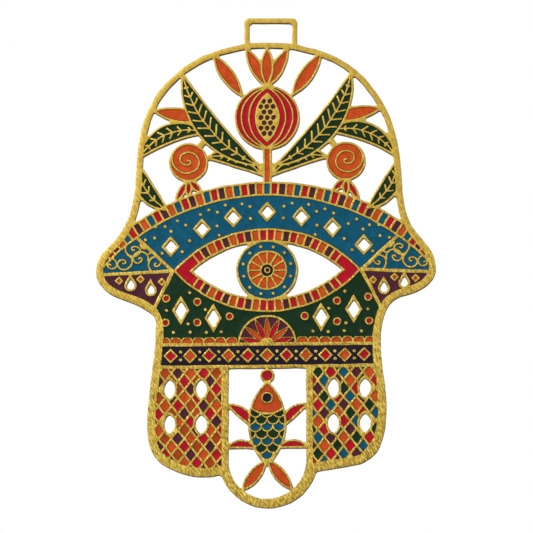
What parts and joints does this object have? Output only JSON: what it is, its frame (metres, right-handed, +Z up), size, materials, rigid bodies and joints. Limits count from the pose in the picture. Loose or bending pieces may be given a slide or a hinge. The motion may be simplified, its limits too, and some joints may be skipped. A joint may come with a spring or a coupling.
{
  "type": "hamsa hand ornament",
  "caption": "Flat hand-shaped wall charm of pierced brass with coloured enamel in etched recesses and a flat loop at the top to hang it by.",
  "frame": {"origin": "hanging point: the underside of the hanging loop's top bar, on the hand's axis, in the middle of the plate's thickness", "axes": "+Z up along the hand, fingertips down; front with the enamel faces -Y; +X to the viewer's right"},
  "size_m": [0.0758, 0.0016, 0.1105],
  "materials": {
    "brass": "satin brushed brass, darker at the cut edges",
    "enamel_teal": "hand filled glossy enamel, petrol blue",
    "enamel_orange": "hand filled glossy enamel, orange",
    "enamel_red": "hand filled glossy enamel, red",
    "enamel_green": "hand filled glossy enamel, dark green",
    "enamel_purple": "hand filled glossy enamel, maroon",
    "enamel_navy": "hand filled glossy enamel, near black",
    "enamel_rust": "hand filled glossy enamel, rust"
  },
  "bodies": {
    "root": {"arch_mosaic_orange": "enamel_orange", "arch_mosaic_purple": "enamel_purple", "arch_mosaic_red": "enamel_red", "arch_mosaic_teal": "enamel_teal", "band_diamonds_orange": "enamel_orange", "band_diamonds_red": "enamel_red", "brass_plate": "brass", "cross_band_navy": "enamel_navy", "eye_lid_orange": "enamel_orange", "eye_lid_purple": "enamel_purple", "eye_lid_red": "enamel_red", "fish_bead_red": "enamel_red", "fish_eye_navy": "enamel_navy", "fish_fins_red": "enamel_red", "fish_head_orange": "enamel_orange", "fish_scales_green": "enamel_green", "fish_scales_teal": "enamel_teal", "fish_tail_orange": "enamel_orange", "iris_petals_orange": "enamel_orange", "iris_ring_teal": "enamel_teal", "left_buds_orange": "enamel_orange", "left_fruit_orange": "enamel_orange", "left_low_leaf_green": "enamel_green", "left_rim_leaf_green": "enamel_green", "left_shoulder_leaf_green": "enamel_green", "left_tall_leaf_green": "enamel_green", "left_thumb_purple": "enamel_purple", "left_thumb_scroll_teal": "enamel_teal", "left_thumb_tiles_orange": "enamel_orange", "left_trellis_orange": "enamel_orange", "left_trellis_purple": "enamel_purple", "left_trellis_red": "enamel_red", "left_trellis_rust": "enamel_rust", "middle_fruit_crown_orange": "enamel_orange", "middle_fruit_red": "enamel_red", "middle_fruit_seeds_purple": "enamel_purple", "palm_field_green": "enamel_green", "palm_rings_red": "enamel_red", "palm_scallops_orange": "enamel_orange", "pupil_navy": "enamel_navy", "right_buds_orange": "enamel_orange", "right_fruit_orange": "enamel_orange", "right_low_leaf_green": "enamel_green", "right_rim_leaf_green": "enamel_green", "right_shoulder_leaf_green": "enamel_green", "right_tall_leaf_green": "enamel_green", "right_thumb_purple": "enamel_purple", "right_thumb_scroll_teal": "enamel_teal", "right_thumb_tiles_orange": "enamel_orange", "right_trellis_green": "enamel_green", "right_trellis_orange": "enamel_orange", "right_trellis_purple": "enamel_purple", "right_trellis_red": "enamel_red", "right_trellis_teal": "enamel_teal", "rosette_ground_purple": "enamel_purple", "rosette_petals_orange": "enamel_orange", "rosette_petals_red": "enamel_red", "shoulder_field_teal": "enamel_teal", "side_fruit_crowns_red": "enamel_red", "stem_orange": "enamel_orange"}
  },
  "joints": []
}
